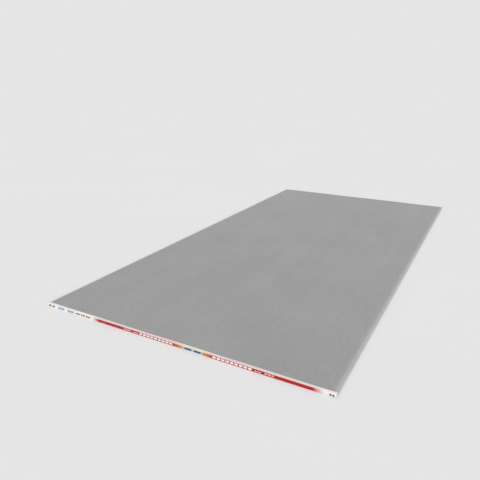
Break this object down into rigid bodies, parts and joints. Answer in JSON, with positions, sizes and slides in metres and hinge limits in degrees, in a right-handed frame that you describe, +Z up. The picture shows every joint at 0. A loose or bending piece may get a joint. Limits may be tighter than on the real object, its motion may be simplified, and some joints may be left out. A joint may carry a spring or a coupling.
{
  "type": "drywall sheet",
  "caption": "Flat rectangular gypsum wallboard sheet with tapered long edges and a printed paper tape over each cut end, for lining walls and ceilings.",
  "frame": {"origin": "middle of the underside of the sheet as it lies, which is its tapered room side", "axes": "+X across the width, +Y along the length from the front end to the rear end, +Z up out of the grey back"},
  "size_m": [1.2192, 2.439, 0.0127],
  "materials": {
    "board_paper": "matte",
    "end_tape": "satin"
  },
  "bodies": {
    "root": {"gypsum_board": "board_paper", "end_tape_front": "end_tape", "end_tape_rear": "end_tape"}
  },
  "joints": []
}
